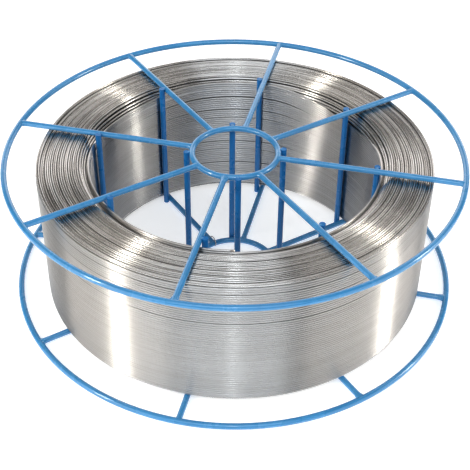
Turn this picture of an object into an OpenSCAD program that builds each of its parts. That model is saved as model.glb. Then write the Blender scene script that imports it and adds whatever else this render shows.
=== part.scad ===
// Wire basket spool, welded from round wire and wound full of stainless welding wire.
// The spool stands on its lower rim with its axis upright. The origin is on the axis,
// at the level of the surface that it stands on.

/* [Spool] */
// Outside diameter over the rim rings
rim_d = 300; // [280:1:330]
// Width over the two flanges
spool_w = 100; // [80:1:120]
// Clear diameter of the spindle hole through the hub rings
hub_bore = 52; // [46:0.5:60]

/* [Flange wires] */
// Wire diameter of the rim rings
rim_wire_d = 4; // [3:0.1:5]
// Wire diameter of the hub rings
hub_wire_d = 4; // [3:0.1:5]
// Wire diameter of the spokes
spoke_d = 3.8; // [3:0.1:5]
// Spokes in each flange, with a coil post at each
spoke_count = 8; // [6:2:8]

/* [Posts] */
// Radius of the circle that the coil posts stand on
post_circle_r = 92; // [80:0.5:104]
// Wire diameter of the coil posts
post_d = 4; // [3:0.1:5]
// Wire diameter of the hub posts
hub_post_d = 4; // [3:0.1:5]
// Posts between the hub rings
hub_post_count = 4; // [3:1:6]
// Angle of the first hub post past the first spoke
hub_post_angle = 16.4; // [12:0.1:33]
// Depth that a resistance weld sets one wire into another
weld_set = 0.5; // [0.2:0.1:0.8]
// Distance of the posts' cut ends inside the flange faces
post_end_inset = 0.4; // [0.2:0.1:1]

/* [Wire coil] */
// Diameter of the welding wire
feed_wire_d = 1.6; // [1:0.1:2]
// Gap between neighbouring turns of one layer
turn_gap = 0.08; // [0:0.02:0.3]
// Layers of turns in the coil
layers = 25; // [10:1:26]
// Clearance between the coil and the wires that hold it
coil_clear = 0.2; // [0.1:0.05:0.5]

/* [Hidden] */
$fn = 96;
paint = [0.16, 0.50, 0.80];
stainless = [0.66, 0.65, 0.63];

// Flange planes, shared by rings and spokes
flange_wire = max(rim_wire_d, hub_wire_d, spoke_d);
lower_z = flange_wire / 2;
upper_z = spool_w - flange_wire / 2;
rim_ring_r = (rim_d - rim_wire_d) / 2;
hub_ring_r = (hub_bore + hub_wire_d) / 2;
spoke_step = 360 / spoke_count;

// A coil post stands beside its spoke, a hub post outside its rings
post_offset = (spoke_d + post_d) / 2 - weld_set;
hub_post_r = hub_ring_r + (hub_wire_d + hub_post_d) / 2 - weld_set;
hub_post_step = 360 / hub_post_count;

// The turns of one layer lie in the hollows of the layer below it
turn_pitch = feed_wire_d + turn_gap;
layer_pitch = sqrt(pow(feed_wire_d, 2) - pow(turn_pitch / 2, 2));
coil_bore_r = norm([post_circle_r, post_offset]) + post_d / 2 + coil_clear;
coil_r = coil_bore_r + feed_wire_d + (layers - 1) * layer_pitch;
coil_bottom = lower_z + spoke_d / 2 + coil_clear;
coil_top = upper_z - spoke_d / 2 - coil_clear;

// Centre lines of the turns that lie open, spread evenly over the coil's height
inner_turn_r = coil_bore_r + feed_wire_d / 2;
outer_turn_r = coil_r - feed_wire_d / 2;
end_turn_low = coil_bottom + feed_wire_d / 2;
end_turn_high = coil_top - feed_wire_d / 2;
layer_turns = floor((end_turn_high - end_turn_low) / turn_pitch) + 1;
wall_pitch = (end_turn_high - end_turn_low) / (layer_turns - 1);

// Flats round a turn's bead, few because so many turns lie open
bead_sides = 8;

// Round wire bent to a closed hoop about the axis
module hoop(ring_r, wire_d, z) {
    translate([0, 0, z])
        rotate_extrude()
            translate([ring_r, 0])
                circle(d = wire_d);
}

module rim_ring(z) {
    color(paint)
        hoop(rim_ring_r, rim_wire_d, z);
}

module hub_ring(z) {
    color(paint)
        hoop(hub_ring_r, hub_wire_d, z);
}

// Straight wire from the hub ring's centre line to the rim ring's
module spoke_wire(z) {
    translate([hub_ring_r, 0, z])
        rotate([0, 90, 0])
            cylinder(d = spoke_d, h = rim_ring_r - hub_ring_r);
}

// A spoke's ends are saddles that fit the two rings
module spoke(i, z) {
    color(paint)
        rotate((i - 1) * spoke_step)
            difference() {
                spoke_wire(z);
                hoop(hub_ring_r, hub_wire_d, z);
                hoop(rim_ring_r, rim_wire_d, z);
            }
}

// Upright wire between the flange faces, with its ends cut square
module upright(wire_d) {
    translate([0, 0, post_end_inset])
        cylinder(d = wire_d, h = spool_w - 2 * post_end_inset);
}

// A coil post is welded to the side of its lower and upper spokes
module coil_post(i) {
    color(paint)
        rotate((i - 1) * spoke_step)
            difference() {
                translate([post_circle_r, post_offset])
                    upright(post_d);
                spoke_wire(lower_z);
                spoke_wire(upper_z);
            }
}

// A hub post is welded to the outside of both hub rings
module hub_post(i) {
    color(paint)
        rotate(hub_post_angle + (i - 1) * hub_post_step)
            difference() {
                translate([hub_post_r, 0])
                    upright(hub_post_d);
                hoop(hub_ring_r, hub_wire_d, lower_z);
                hoop(hub_ring_r, hub_wire_d, upper_z);
            }
}

// Half section of the coil: the turns that lie open show as beads, on its bore, its outside and its ends
module coil_section() {
    translate([inner_turn_r, end_turn_low])
        square([outer_turn_r - inner_turn_r, end_turn_high - end_turn_low]);
    for (layer = [0:layers - 1], z = [end_turn_low, end_turn_high])
        translate([inner_turn_r + layer * layer_pitch, z])
            circle(d = feed_wire_d, $fn = bead_sides);
    for (turn = [1:layer_turns - 2], r = [inner_turn_r, outer_turn_r])
        translate([r, end_turn_low + turn * wall_pitch])
            circle(d = feed_wire_d, $fn = bead_sides);
}

module wire_coil() {
    color(stainless)
        rotate_extrude()
            coil_section();
}

rim_ring(lower_z);  // rim_ring_lower
rim_ring(upper_z);  // rim_ring_upper
hub_ring(lower_z);  // hub_ring_lower
hub_ring(upper_z);  // hub_ring_upper
for (i = [1:spoke_count]) {
    spoke(i, lower_z);
    spoke(i, upper_z);
    coil_post(i);
}
for (i = [1:hub_post_count])
    hub_post(i);
wire_coil();
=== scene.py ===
# Looks, light and camera for the wire basket spool of welding wire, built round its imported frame
import math
import random

import bpy
from mathutils import Matrix, Quaternion, Vector


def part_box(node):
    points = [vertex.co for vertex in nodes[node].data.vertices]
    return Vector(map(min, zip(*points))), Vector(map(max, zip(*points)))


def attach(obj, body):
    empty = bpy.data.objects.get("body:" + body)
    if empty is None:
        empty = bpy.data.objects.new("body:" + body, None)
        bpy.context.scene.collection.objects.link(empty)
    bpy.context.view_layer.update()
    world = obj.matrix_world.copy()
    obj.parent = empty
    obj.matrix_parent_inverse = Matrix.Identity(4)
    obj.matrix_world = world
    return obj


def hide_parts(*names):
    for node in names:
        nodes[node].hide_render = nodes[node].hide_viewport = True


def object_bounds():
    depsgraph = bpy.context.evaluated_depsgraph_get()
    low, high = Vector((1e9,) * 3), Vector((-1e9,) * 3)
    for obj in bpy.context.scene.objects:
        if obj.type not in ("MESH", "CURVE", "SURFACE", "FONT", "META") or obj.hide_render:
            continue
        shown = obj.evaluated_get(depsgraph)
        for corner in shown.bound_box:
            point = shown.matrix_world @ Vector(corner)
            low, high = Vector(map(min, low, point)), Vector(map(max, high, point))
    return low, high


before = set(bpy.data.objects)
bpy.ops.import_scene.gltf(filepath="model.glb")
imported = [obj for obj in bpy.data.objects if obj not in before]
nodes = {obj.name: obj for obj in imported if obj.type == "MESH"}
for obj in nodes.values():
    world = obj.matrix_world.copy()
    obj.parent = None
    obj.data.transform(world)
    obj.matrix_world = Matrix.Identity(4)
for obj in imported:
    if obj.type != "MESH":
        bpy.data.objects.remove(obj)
cadLow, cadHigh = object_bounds()
mm = 0.001
smoothAngle = math.radians(40)  # edges sharper than this stay sharp


# Small helpers for modelling by hand

def clearSelection():
    if bpy.context.object and bpy.context.object.mode != "OBJECT":
        bpy.ops.object.mode_set(mode="OBJECT")
    bpy.ops.object.select_all(action="DESELECT")


def pickOnly(piece):
    clearSelection()
    piece.select_set(True)
    bpy.context.view_layer.objects.active = piece


def bakePlace(piece):
    pickOnly(piece)
    bpy.ops.object.transform_apply(location=True, rotation=True, scale=True)


def applyModifier(piece, kind, **settings):
    pickOnly(piece)
    modifier = piece.modifiers.new(kind.lower(), kind)
    for key, value in settings.items():
        setattr(modifier, key, value)
    bpy.ops.object.modifier_apply(modifier=modifier.name)


def joinPieces(pieces, name):
    clearSelection()
    for piece in pieces:
        piece.select_set(True)
    bpy.context.view_layer.objects.active = pieces[0]
    if len(pieces) > 1:
        bpy.ops.object.join()
    joined = bpy.context.object
    joined.name = name
    joined.data.name = name
    return joined


def finishPiece(piece, material):
    piece.data.materials.clear()
    piece.data.materials.append(material)
    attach(piece, "root")
    return piece


# Shader helpers

def newMaterial(name):
    material = bpy.data.materials.new(name)
    material.use_nodes = True
    tree = material.node_tree
    tree.nodes.clear()
    out = tree.nodes.new("ShaderNodeOutputMaterial")
    shader = tree.nodes.new("ShaderNodeBsdfPrincipled")
    tree.links.new(shader.outputs["BSDF"], out.inputs["Surface"])
    return material, tree, shader


def addNode(tree, kind, links=(), **settings):
    node = tree.nodes.new(kind)
    for key, value in settings.items():
        setattr(node, key, value)
    for socket, source in links:
        if hasattr(source, "is_output"):
            tree.links.new(source, node.inputs[socket])
        else:
            node.inputs[socket].default_value = source
    return node


def mathNode(tree, operation, a, b=0.0):
    return addNode(tree, "ShaderNodeMath", [(0, a), (1, b)], operation=operation).outputs[0]


def rampNode(tree, source, stops):
    ramp = addNode(tree, "ShaderNodeValToRGB", [("Fac", source)])
    elements = ramp.color_ramp.elements
    while len(elements) < len(stops):
        elements.new(0.5)
    for element, (place, colour) in zip(elements, stops):
        element.position = place
        element.color = (*colour, 1)
    return ramp.outputs["Color"]


def noiseNode(tree, vector, scale, detail, roughness=0.5):
    links = [("Vector", vector), ("Scale", scale), ("Detail", detail), ("Roughness", roughness)]
    return addNode(tree, "ShaderNodeTexNoise", links).outputs["Fac"]


def spreadNode(tree, source, edges, results):
    links = [("Value", source), ("From Min", edges[0]), ("From Max", edges[1]),
             ("To Min", results[0]), ("To Max", results[1])]
    return addNode(tree, "ShaderNodeMapRange", links).outputs["Result"]


# Blue stove enamel on the basket wires
bluePaint = {
    "thin": (0.040, 0.240, 0.497),
    "full": (0.049, 0.281, 0.568),
    "patchScale": 40.0,
    "patchDetail": 4.0,
    "patchBlend": 0.6,
    "patchEdges": (0.35, 0.65),
    "peelScale": 500.0,
    "peelDetail": 2.0,
    "peelStrength": 0.35,
    "peelDepth": 0.01 * mm,
    "roughness": (0.24, 0.30),
    "roughEdges": (0.3, 0.7),
    "ior": 1.5,
    "coat": 1.0,
    "coatRoughness": 0.04,
    "postPaintedShade": (0.17, 0.63, 0.82),  # painted shade: the posts' paint is darkened for the coil's shade they stand in
    "postCoat": 0.15,
}


def makePaint(name, shade, coat):
    look = bluePaint
    thin, full = ([part * dim for part, dim in zip(look[key], shade)] for key in ("thin", "full"))
    thinEdge, fullEdge = look["patchEdges"]
    material, tree, shader = newMaterial(name)
    coords = addNode(tree, "ShaderNodeTexCoord").outputs["Object"]
    patches = noiseNode(tree, coords, look["patchScale"], look["patchDetail"], look["patchBlend"])
    colour = rampNode(tree, patches, [(thinEdge, thin), (fullEdge, full)])
    tree.links.new(colour, shader.inputs["Base Color"])
    rough = spreadNode(tree, patches, look["roughEdges"], look["roughness"])
    tree.links.new(rough, shader.inputs["Roughness"])
    peel = noiseNode(tree, coords, look["peelScale"], look["peelDetail"])
    bump = addNode(tree, "ShaderNodeBump", [("Height", peel), ("Strength", look["peelStrength"]),
                                            ("Distance", look["peelDepth"])]).outputs["Normal"]
    tree.links.new(bump, shader.inputs["Normal"])
    shader.inputs["IOR"].default_value = look["ior"]
    shader.inputs["Coat Weight"].default_value = coat
    shader.inputs["Coat Roughness"].default_value = look["coatRoughness"]
    return material


# Bright drawn stainless wire: every turn catches the light a little differently
drawnWire = {
    "tints": [(0.25, (0.47, 0.46, 0.45)), (0.55, (0.53, 0.525, 0.52)), (0.80, (0.58, 0.575, 0.57))],
    "endTints": [(0.39, (0.47, 0.46, 0.445)), (0.50, (0.66, 0.655, 0.645)), (0.61, (0.78, 0.775, 0.77))],
    "alongScale": 14.0,  # changes of tone in one turn
    "acrossScale": 610.0,  # changes of tone in a metre across the turns
    "turnDetail": 3.0,
    "turnBlend": 0.55,
    "swing": 0.002,
    "swingEdges": (0.25, 0.75),
    "wallRoughness": (0.29, 0.35),
    "endRoughness": (0.24, 0.30),
    "roughEdges": (0.3, 0.7),
    "borePaintedLight": 1.08,  # painted light and shade: tints of the bore's turns are lightened and the core's darkened, against the outside's
    "corePaintedShade": 0.30,
    "anisotropy": 0.95,
    "grainTurn": 0.25,
}


def makeWire(name, roughness, tints, lift=1.0):
    look = drawnWire
    tints = [(place, [part * lift for part in tint]) for place, tint in tints]
    material, tree, shader = newMaterial(name)
    coords = addNode(tree, "ShaderNodeTexCoord").outputs["Object"]
    parts = addNode(tree, "ShaderNodeSeparateXYZ", [("Vector", coords)])
    angle = mathNode(tree, "ARCTAN2", parts.outputs["Y"], parts.outputs["X"])
    flat = addNode(tree, "ShaderNodeVectorMath", [(0, coords), (1, (1, 1, 0))], operation="MULTIPLY")
    radius = addNode(tree, "ShaderNodeVectorMath", [(0, flat.outputs["Vector"])],
                     operation="LENGTH").outputs["Value"]
    # a strip map of the winding: slow along a turn, quick from one turn to the next
    strip = addNode(tree, "ShaderNodeCombineXYZ", [
        ("X", mathNode(tree, "MULTIPLY", angle, look["alongScale"] / (2 * math.pi))),
        ("Y", mathNode(tree, "MULTIPLY", parts.outputs["Z"], look["acrossScale"])),
        ("Z", mathNode(tree, "MULTIPLY", radius, look["acrossScale"])),
    ]).outputs["Vector"]
    turnNoise = noiseNode(tree, strip, 1.0, look["turnDetail"], look["turnBlend"])
    colour = rampNode(tree, turnNoise, tints)
    tree.links.new(colour, shader.inputs["Base Color"])
    rough = spreadNode(tree, turnNoise, look["roughEdges"], roughness)
    tree.links.new(rough, shader.inputs["Roughness"])
    # turn the normal a little to and fro along the wire
    along = addNode(tree, "ShaderNodeCombineXYZ", [
        ("X", mathNode(tree, "MULTIPLY", parts.outputs["Y"], -1.0)),
        ("Y", parts.outputs["X"]),
    ]).outputs["Vector"]
    along = addNode(tree, "ShaderNodeVectorMath", [(0, along)], operation="NORMALIZE").outputs["Vector"]
    swing = spreadNode(tree, turnNoise, look["swingEdges"], (-look["swing"], look["swing"]))
    push = addNode(tree, "ShaderNodeVectorMath", [(0, along), ("Scale", swing)],
                   operation="SCALE").outputs["Vector"]
    face = addNode(tree, "ShaderNodeNewGeometry").outputs["Normal"]
    pushed = addNode(tree, "ShaderNodeVectorMath", [(0, face), (1, push)], operation="ADD")
    bent = addNode(tree, "ShaderNodeVectorMath", [(0, pushed.outputs["Vector"])],
                   operation="NORMALIZE").outputs["Vector"]
    tree.links.new(bent, shader.inputs["Normal"])
    shader.inputs["Metallic"].default_value = 1.0
    shader.inputs["Anisotropic"].default_value = look["anisotropy"]
    shader.inputs["Anisotropic Rotation"].default_value = look["grainTurn"]
    return material


enamel = makePaint("blueEnamel", (1, 1, 1), bluePaint["coat"])
# the posts' darker, duller paint is painted shade, not a different paint
shadedPostEnamel = makePaint("shadedPostEnamel", bluePaint["postPaintedShade"], bluePaint["postCoat"])
wallSteel = makeWire("wallSteel", drawnWire["wallRoughness"], drawnWire["tints"])
endSteel = makeWire("endSteel", drawnWire["endRoughness"], drawnWire["endTints"])
# the bore's turns wear a lightened copy of the wire: painted light
boreLitSteel = makeWire("boreLitSteel", drawnWire["wallRoughness"], drawnWire["tints"], drawnWire["borePaintedLight"])
# the core, seen in the gaps between the turns, wears a darkened copy of the wire: painted shade
coreShadowSteel = makeWire("coreShadowSteel", drawnWire["wallRoughness"], drawnWire["tints"], drawnWire["corePaintedShade"])
for nodeName, cadNode in nodes.items():
    if nodeName != "wire_coil":
        cadNode.data.materials.clear()
        cadNode.data.materials.append(shadedPostEnamel if "_post_" in nodeName else enamel)
        pickOnly(cadNode)
        bpy.ops.object.shade_smooth_by_angle(angle=smoothAngle)
print("paint and wire materials ready")


# The winding, with real turns on every side that shows
winding = {
    "wireDia": 1.6 * mm,
    "layers": 25,
    "layerPitch": 1.362 * mm,
    "turnPitch": 1.665 * mm,
    "sides": 8,
    "steps": 160,
    "outerBands": [37, 8, 5, 3],  # turns in each band, from the bottom up
    "outerGap": 0.36 * mm,
    "outerTail": math.radians(103),  # bearing where the bands start and end
    "innerBands": (4, 8),  # fewest and most turns in a band
    "innerFill": 0.975,  # share of the height that the turns take up
    "innerGapSpread": (0.4, 1.6),
    "innerHeadroom": 0.05 * mm,
    "innerLift": 1.05 * mm,
    "innerSag": 7.0 * mm,
    "sagSpots": [(math.radians(48), 1.0), (math.radians(156), 0.55)],  # bearing, share of the sag
    "sagGrip": 6 * mm,
    "sagReach": 60 * mm,
    "innerTail": math.radians(-77),
    "boreHollow": 6.8 * mm,  # how far the core stands back from the bore
    "endHollow": 1.25 * mm,  # and from the ends
    "mergeGap": 0.01 * mm,
    "endDia": 0.96 * mm,
    "endTilt": math.radians(0.07),
    "endShift": 0.20 * mm,
    "endScatter": 0.5,
    "endDrop": 0.60 * mm,
    "endSags": (6.0 * mm, 4.6 * mm, 3.3 * mm, 2.1 * mm, 1.0 * mm),  # of the layers next to the bore
    "sagDia": 1.5 * mm,
    "sunkLayer": 22,  # one layer lies deeper than the rest
    "sunkDrop": 0.8 * mm,
    "seed": 7,
}
wireRadius = winding["wireDia"] / 2
coilLow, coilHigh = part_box("wire_coil")
coilMesh = nodes["wire_coil"].data
boreRadius = min(math.hypot(v.co.x, v.co.y) for v in coilMesh.vertices)
coilRadius = coilHigh.x
dice = random.Random(winding["seed"])


def hangSlack(strand, radius, depth):
    # slack turns hang lowest at a few bearings
    for bearing, share in winding["sagSpots"]:
        spot = Vector((math.cos(bearing), math.sin(bearing))) * radius
        pickOnly(strand)
        for corner in strand.data.vertices:
            corner.select = (corner.co.xy - spot).length < winding["sagGrip"]
        bpy.ops.object.mode_set(mode="EDIT")
        bpy.ops.transform.translate(value=(0, 0, -depth * share), use_proportional_edit=True,
                                    proportional_edit_falloff="SMOOTH",
                                    proportional_size=winding["sagReach"])
        bpy.ops.mesh.select_all(action="DESELECT")
        bpy.ops.object.mode_set(mode="OBJECT")


def windBand(radius, startZ, turns, start, dip):
    clearSelection()
    bpy.ops.mesh.primitive_circle_add(vertices=winding["sides"], radius=wireRadius,
                                      location=(radius, 0, 0), rotation=(math.pi / 2, 0, 0))
    band = bpy.context.object
    bakePlace(band)
    applyModifier(band, "SCREW", axis="Z", angle=2 * math.pi, screw_offset=winding["turnPitch"],
                  iterations=turns, steps=winding["steps"], render_steps=winding["steps"],
                  use_smooth_shade=True)
    bpy.ops.object.mode_set(mode="EDIT")
    bpy.ops.mesh.select_all(action="SELECT")
    bpy.ops.mesh.fill_holes(sides=winding["sides"])
    bpy.ops.mesh.normals_make_consistent(inside=False)
    bpy.ops.mesh.select_all(action="DESELECT")
    bpy.ops.object.mode_set(mode="OBJECT")
    band.rotation_euler = (0, 0, start)
    band.location.z = startZ
    bakePlace(band)
    if dip > 0:
        hangSlack(band, radius, dip)
    return band


def windLayer(name, radius, startZ, bands, gaps, start, dips):
    pieces = []
    z = startZ
    for turns, gap, dip in zip(bands, gaps, dips):
        pieces.append(windBand(radius, z, turns, start, dip))
        z += turns * winding["turnPitch"] + gap
    return joinPieces(pieces, name)


def endTurns(name, z, sense, sags):
    pieces = []
    for layer in range(winding["layers"]):
        radius = boreRadius + wireRadius + layer * winding["layerPitch"]
        drop = dice.random() * winding["endDrop"]
        dia = winding["sagDia"] if layer < len(sags) else winding["endDia"]
        if layer == winding["sunkLayer"]:
            drop += winding["sunkDrop"]
        shiftX, shiftY = (dice.gauss(0, winding["endScatter"]) * winding["endShift"] for axis in "xy")
        tiltX, tiltY = (dice.gauss(0, winding["endScatter"]) * winding["endTilt"] for axis in "xy")
        clearSelection()
        bpy.ops.mesh.primitive_torus_add(
            major_radius=radius, minor_radius=dia / 2,
            major_segments=winding["steps"], minor_segments=winding["sides"],
            location=(shiftX, shiftY, z - sense * (dia / 2 + drop)),
            rotation=(tiltX, tiltY, 0))
        turn = bpy.context.object
        bakePlace(turn)
        bpy.ops.object.shade_smooth()
        if layer < len(sags):
            hangSlack(turn, radius, sags[layer])
        pieces.append(turn)
    return joinPieces(pieces, name)


def turnedCore(name):
    low, high = coilLow.z + winding["endHollow"], coilHigh.z - winding["endHollow"]
    inner, outer = boreRadius + winding["boreHollow"], coilRadius - winding["wireDia"]
    clearSelection()
    bpy.ops.mesh.primitive_plane_add(size=1, location=((inner + outer) / 2, 0, (low + high) / 2),
                                     rotation=(math.pi / 2, 0, 0))
    core = bpy.context.object
    core.scale = (outer - inner, high - low, 1)
    bakePlace(core)
    bpy.ops.object.mode_set(mode="EDIT")
    bpy.ops.mesh.select_all(action="SELECT")
    bpy.ops.mesh.delete(type="ONLY_FACE")
    bpy.ops.object.mode_set(mode="OBJECT")
    applyModifier(core, "SCREW", axis="Z", angle=2 * math.pi, steps=winding["steps"],
                  render_steps=winding["steps"], use_merge_vertices=True, use_smooth_shade=False)
    bpy.ops.object.mode_set(mode="EDIT")
    bpy.ops.mesh.select_all(action="SELECT")
    bpy.ops.mesh.remove_doubles(threshold=winding["mergeGap"])
    bpy.ops.mesh.normals_make_consistent(inside=False)
    bpy.ops.object.mode_set(mode="OBJECT")
    core.name = core.data.name = name
    return core


def innerBandPlan():
    # the bore's turns sag a little more, band by band, towards the top
    height = coilHigh.z - coilLow.z - 2 * winding["innerLift"] - winding["wireDia"]
    height -= winding["innerHeadroom"]
    turnsLeft = int(height / winding["turnPitch"] * winding["innerFill"])
    bands = []
    while turnsLeft > 0:
        bands.append(min(dice.randint(*winding["innerBands"]), turnsLeft))
        turnsLeft -= bands[-1]
    spare = height - sum(bands) * winding["turnPitch"]
    shares = [dice.uniform(*winding["innerGapSpread"]) for band in bands[1:]]
    gaps = [spare * share / sum(shares) for share in shares] + [0]
    dips = [winding["innerSag"] * place / (len(bands) - 1) for place in range(len(bands))]
    return bands, gaps, dips


outerGaps = [winding["outerGap"]] * len(winding["outerBands"])
outerTurns = windLayer("outerTurns", coilRadius - wireRadius, coilLow.z + wireRadius,
                       winding["outerBands"], outerGaps, winding["outerTail"], [0.0] * len(outerGaps))
innerBands, innerGaps, innerDips = innerBandPlan()
innerStart = coilLow.z + winding["innerLift"] + wireRadius
innerTurns = windLayer("innerTurns", boreRadius + wireRadius, innerStart, innerBands, innerGaps,
                       winding["innerTail"], innerDips)
topTurns = endTurns("topTurns", coilHigh.z, 1, winding["endSags"])
bottomTurns = endTurns("bottomTurns", coilLow.z, -1, ())
core = turnedCore("windingCore")
# the core carries painted shade and the bore's turns painted light
windingLooks = [(outerTurns, wallSteel), (core, coreShadowSteel), (innerTurns, boreLitSteel),
                (topTurns, endSteel), (bottomTurns, endSteel)]
for piece, steel in windingLooks:
    finishPiece(piece, steel)
    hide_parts("wire_coil")
windingPieces = (outerTurns, innerTurns, topTurns, bottomTurns)
print("winding modelled:", sum(len(piece.data.polygons) for piece in windingPieces), "faces")


# Welds where the basket's wires meet, all cast from one flare and one nugget
weldShape = {
    "sides": 12,
    "root": 5.4 * mm,  # from the ring's centre line to the flare's start on the spoke
    "sink": 0.45,  # where the flare stops, in radii of the ring's wire
    "steps": 5,
    "rootScale": 0.97,
    "collar": 1.06,
    "spread": 1.9,
    "flareCurve": 2.6,
    "lift": 0.98,
    "lump": 0.16 * mm,
    "soften": 0.5,
    "nugget": (1.35 * mm, 1.75 * mm, 1.9 * mm),
    "nuggetRings": 8,
    "bite": 0.1 * mm,
    "sizeSpread": (0.88, 1.12),
    "widthSpread": (0.9, 1.15),
    "seed": 11,
}
rimLow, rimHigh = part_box("rim_ring_upper")
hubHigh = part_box("hub_ring_upper")[1]
spokeLow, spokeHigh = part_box("spoke_upper_1")
postLow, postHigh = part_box("coil_post_1")
ringWire = (rimHigh.z - rimLow.z) / 2  # radii of the wires
spokeWire = (spokeHigh.z - spokeLow.z) / 2
rimCentre = rimHigh.x - ringWire
hubCentre = hubHigh.x - ringWire
flangeLevels = [(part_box(n)[0].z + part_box(n)[1].z) / 2 for n in ("rim_ring_lower", "rim_ring_upper")]
weldDice = random.Random(weldShape["seed"])


def roughen(piece, amount):
    bpy.ops.object.mode_set(mode="EDIT")
    bpy.ops.mesh.select_all(action="SELECT")
    bpy.ops.transform.vertex_random(offset=amount, seed=weldShape["seed"])
    bpy.ops.mesh.vertices_smooth(factor=weldShape["soften"], repeat=1)
    bpy.ops.object.mode_set(mode="OBJECT")
    bpy.ops.object.shade_smooth()


def makeFlare():
    # a collar on the spoke that widens sideways into the ring
    clearSelection()
    bpy.ops.mesh.primitive_circle_add(vertices=weldShape["sides"], fill_type="NGON",
                                      radius=spokeWire * weldShape["rootScale"],
                                      location=(-weldShape["root"], 0, 0), rotation=(0, math.pi / 2, 0))
    flare = bpy.context.object
    bakePlace(flare)
    bpy.ops.object.mode_set(mode="EDIT")
    bpy.ops.mesh.select_all(action="SELECT")
    travel = (weldShape["root"] - ringWire * weldShape["sink"]) / weldShape["steps"]
    collar = weldShape["collar"]
    rises = [collar] + [1.0] * (weldShape["steps"] - 2) + [weldShape["lift"]]
    wide = 1.0
    for step, rise in enumerate(rises, 1):
        growth = (step / weldShape["steps"]) ** weldShape["flareCurve"]
        target = collar + (weldShape["spread"] - collar) * growth
        bpy.ops.mesh.extrude_region_move(TRANSFORM_OT_translate={"value": (travel, 0, 0)})
        bpy.ops.transform.resize(value=(1, target / wide, rise))
        wide = target
    bpy.ops.mesh.select_all(action="SELECT")
    bpy.ops.mesh.normals_make_consistent(inside=False)
    bpy.ops.object.mode_set(mode="OBJECT")
    applyModifier(flare, "SUBSURF", levels=1, render_levels=1)
    roughen(flare, weldShape["lump"])
    return flare


def makeNugget():
    clearSelection()
    bpy.ops.mesh.primitive_uv_sphere_add(segments=weldShape["sides"], radius=1,
                                         ring_count=weldShape["nuggetRings"])
    nugget = bpy.context.object
    nugget.scale = weldShape["nugget"]
    bakePlace(nugget)
    roughen(nugget, weldShape["lump"])
    return nugget


def castCopy(master, place, turn, flip=1.0):
    pickOnly(master)
    bpy.ops.object.duplicate()
    copy = bpy.context.object
    size = weldDice.uniform(*weldShape["sizeSpread"])
    copy.scale = (size, size * weldDice.uniform(*weldShape["widthSpread"]), 1)
    copy.rotation_euler = (0 if flip > 0 else math.pi, 0, turn)
    copy.location = place
    bakePlace(copy)
    return copy


def polar(radius, angle, z):
    return Vector((radius * math.cos(angle), radius * math.sin(angle), z))


def makeWelds():
    flare, nugget = makeFlare(), makeNugget()
    welds = []
    spokeCount = sum(name.startswith("spoke_upper_") for name in nodes)
    postMiddle = (postLow + postHigh) / 2
    postRadius = math.hypot(postMiddle.x, postMiddle.y)
    touch = math.atan2(spokeWire - weldShape["bite"], postMiddle.x)
    for level in flangeLevels:
        for spoke in range(spokeCount):
            angle = 2 * math.pi * spoke / spokeCount
            flip = weldDice.choice((-1.0, 1.0))
            welds.append(castCopy(flare, polar(rimCentre, angle, level), angle, flip))
            welds.append(castCopy(flare, polar(hubCentre, angle, level), angle + math.pi, flip))
            welds.append(castCopy(nugget, polar(postRadius, angle + touch, level), angle))
    for name in nodes:
        if name.startswith("hub_post_"):
            low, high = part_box(name)
            middle = (low + high) / 2
            angle = math.atan2(middle.y, middle.x)
            for level in flangeLevels:
                place = polar(hubCentre + ringWire, angle, level)
                welds.append(castCopy(nugget, place, angle + math.pi / 2))
    clearSelection()
    flare.select_set(True)
    nugget.select_set(True)
    bpy.ops.object.delete()
    return joinPieces(welds, "weldFlares")


weldFlares = finishPiece(makeWelds(), enamel)
print("welds modelled:", len(weldFlares.data.polygons), "faces")


# A snippet of tie wire hooked over the lower hub ring
tieWire = {
    "dia": 0.8 * mm,
    "reach": 3.8 * mm,
    "lean": 1.4 * mm,
    "rise": 2.8 * mm,
    "sweep": math.radians(235),
    "bearing": math.radians(134),
    "sides": 8,
    "steps": 18,
}


def makeTie():
    clearSelection()
    bpy.ops.mesh.primitive_circle_add(vertices=tieWire["sides"], radius=tieWire["dia"] / 2,
                                      location=(tieWire["reach"], 0, 0))
    tie = bpy.context.object
    bakePlace(tie)
    bpy.ops.object.mode_set(mode="EDIT")
    bpy.ops.mesh.select_all(action="SELECT")
    bpy.ops.mesh.spin(steps=tieWire["steps"], angle=tieWire["sweep"], center=(0, 0, 0), axis=(0, 1, 0))
    bpy.ops.mesh.select_all(action="SELECT")
    bpy.ops.mesh.fill_holes(sides=tieWire["sides"])
    bpy.ops.mesh.normals_make_consistent(inside=False)
    bpy.ops.object.mode_set(mode="OBJECT")
    tie.rotation_euler = (0, (tieWire["sweep"] - math.pi) / 2, 0)  # both ends hang equally low
    bakePlace(tie)
    tie.rotation_euler = (0, 0, tieWire["bearing"])
    tie.location = polar(hubCentre + tieWire["lean"], tieWire["bearing"], tieWire["rise"])
    bakePlace(tie)
    bpy.ops.object.shade_smooth_by_angle(angle=smoothAngle)
    tie.name = tie.data.name = "tieLoop"
    return tie


tieLoop = finishPiece(makeTie(), wallSteel)
print("tie wire hooked on:", len(tieLoop.data.polygons), "faces")


# Pale floor under the spool
stageLook = {"size": 12.0, "colour": (0.86, 0.87, 0.88), "roughness": 0.9, "glow": 0.38}


def makeFloor():
    clearSelection()
    bpy.ops.mesh.primitive_plane_add(size=stageLook["size"], location=(0, 0, cadLow.z))
    floor = bpy.context.object
    floor.name = "paleFloor"
    material, tree, shader = newMaterial("paleFloor")
    shader.inputs["Base Color"].default_value = (*stageLook["colour"], 1)
    shader.inputs["Roughness"].default_value = stageLook["roughness"]
    shader.inputs["Emission Color"].default_value = (1, 1, 1, 1)
    shader.inputs["Emission Strength"].default_value = stageLook["glow"]
    floor.data.materials.append(material)


makeFloor()

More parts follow.
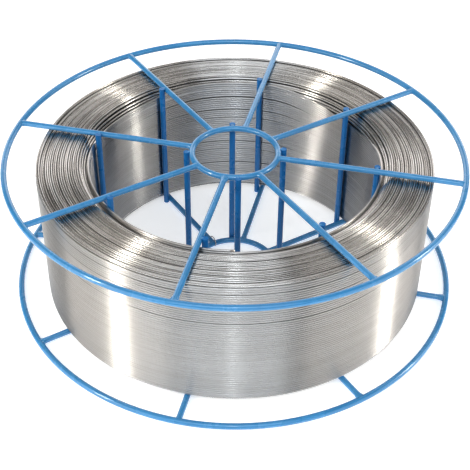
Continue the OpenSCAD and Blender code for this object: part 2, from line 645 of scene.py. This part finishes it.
# Soft boxes, by bearing and height in degrees, lean, distance, size and power
photoTurn = 12.7  # degrees round the axis to the photo's side, from which bearings count
softBoxes = [
    {"name": "rightBox", "bearing": -3, "height": 22, "lean": -12, "away": 1.3, "size": (0.17, 0.60),
     "watts": 3.2, "tint": (1, 0.95, 0.86)},
    {"name": "leftBox", "bearing": -153, "height": 30, "lean": 16, "away": 1.3, "size": (0.16, 0.80),
     "watts": 4.4, "tint": (1, 0.95, 0.86)},
    {"name": "frontCard", "bearing": -101, "height": 37, "lean": 0, "away": 1.6, "size": (2.3, 1.2),
     "watts": 7.4, "tint": (0.88, 0.94, 1)},
    {"name": "leftCard", "bearing": -155, "height": 20, "lean": 0, "away": 1.7, "size": (2.0, 0.9),
     "watts": 7.4, "tint": (1, 0.93, 0.84)},
    {"name": "rightCard", "bearing": -17, "height": 20, "lean": 0, "away": 1.7, "size": (2.4, 0.9),
     "watts": 8.4, "tint": (1, 0.94, 0.88)},
    {"name": "backCard", "bearing": 90, "height": 20, "lean": 0, "away": 2.0, "size": (3.8, 1.1),
     "watts": 18.0, "tint": (1, 0.95, 0.92)},
    {"name": "topBox", "bearing": 90, "height": 88, "lean": 0, "away": 1.5, "size": (0.9, 1.8),
     "watts": 2.1, "tint": (0.97, 0.98, 1)},
    {"name": "ridgeBox", "bearing": -90, "height": 46, "lean": 0, "away": 1.4, "size": (0.09, 0.45),
     "watts": 0.65, "tint": (0.93, 0.97, 1)},
    {"name": "leftShoulder", "bearing": 125, "height": 52, "lean": 0, "away": 1.4, "size": (0.9, 0.5),
     "watts": 0.7, "tint": (1, 0.97, 0.94)},
    {"name": "rightShoulder", "bearing": 55, "height": 52, "lean": 0, "away": 1.4, "size": (0.9, 0.5),
     "watts": 1.0, "tint": (1, 0.98, 0.96)},
    {"name": "highCard", "bearing": -90, "height": 56, "lean": 0, "away": 1.4, "size": (1.0, 0.6),
     "watts": 2.5, "tint": (0.92, 0.96, 1)},
]
studioAir = {"colour": (0.78, 0.74, 0.70), "strength": 0.12}
displayLook = {"view_transform": "Standard", "exposure": 0.35, "gamma": 0.86}


def bearingVector(bearing, height):
    flat = math.radians(bearing + photoTurn)
    lift = math.radians(height)
    return Vector((math.cos(flat) * math.cos(lift), math.sin(flat) * math.cos(lift), math.sin(lift)))


def makeLights():
    middle = (cadLow + cadHigh) / 2
    for box in softBoxes:
        toward = bearingVector(box["bearing"], box["height"])
        bpy.ops.object.light_add(type="AREA", location=middle + toward * box["away"])
        lamp = bpy.context.object
        lamp.name = box["name"]
        lamp.data.shape = "RECTANGLE"
        lamp.data.size, lamp.data.size_y = box["size"]
        lamp.data.energy = box["watts"]
        lamp.data.color = box["tint"]
        lamp.rotation_mode = "QUATERNION"
        lean = Quaternion((0, 0, 1), math.radians(box["lean"]))
        lamp.rotation_quaternion = toward.to_track_quat("Z", "Y") @ lean
    world = bpy.data.worlds.new("studio")
    world.use_nodes = True
    background = world.node_tree.nodes["Background"]
    background.inputs["Color"].default_value = (*studioAir["colour"], 1)
    background.inputs["Strength"].default_value = studioAir["strength"]
    bpy.context.scene.world = world


makeLights()
for setting, value in displayLook.items():
    setattr(bpy.context.scene.view_settings, setting, value)
print("floor and lights ready")

# Camera at the photograph's place, worked out from its two rim ellipses
viewpoint = {
    "azimuth": photoTurn,
    "elevation": 38.916,
    "roll": 0.570,
    "distance": 708.4 * mm,
    "aimHeight": 48.48 * mm,
    "slide": (0.26 * mm, -15.07 * mm),
    "focalPixels": 1044.7,
    "framePixels": 470,
    "sensor": 36.0,
}


def makeCamera():
    turn, lift, roll = (math.radians(viewpoint[k]) for k in ("azimuth", "elevation", "roll"))
    back = Vector((math.sin(turn) * math.cos(lift), -math.cos(turn) * math.cos(lift), math.sin(lift)))
    right = Vector((math.cos(turn), math.sin(turn), 0))
    up = back.cross(right)
    rolledRight = right * math.cos(roll) + up * math.sin(roll)
    rolledUp = up * math.cos(roll) - right * math.sin(roll)
    slideX, slideY = viewpoint["slide"]
    place = Vector((0, 0, viewpoint["aimHeight"])) + back * viewpoint["distance"]
    place += rolledRight * slideX + rolledUp * slideY
    bpy.ops.object.camera_add(location=place)
    camera = bpy.context.object
    turned = Matrix((rolledRight, rolledUp, back)).transposed().to_4x4()
    camera.matrix_world = Matrix.Translation(place) @ turned
    camera.data.sensor_width = viewpoint["sensor"]
    camera.data.lens = viewpoint["focalPixels"] / viewpoint["framePixels"] * viewpoint["sensor"]
    bpy.context.scene.camera = camera


makeCamera()
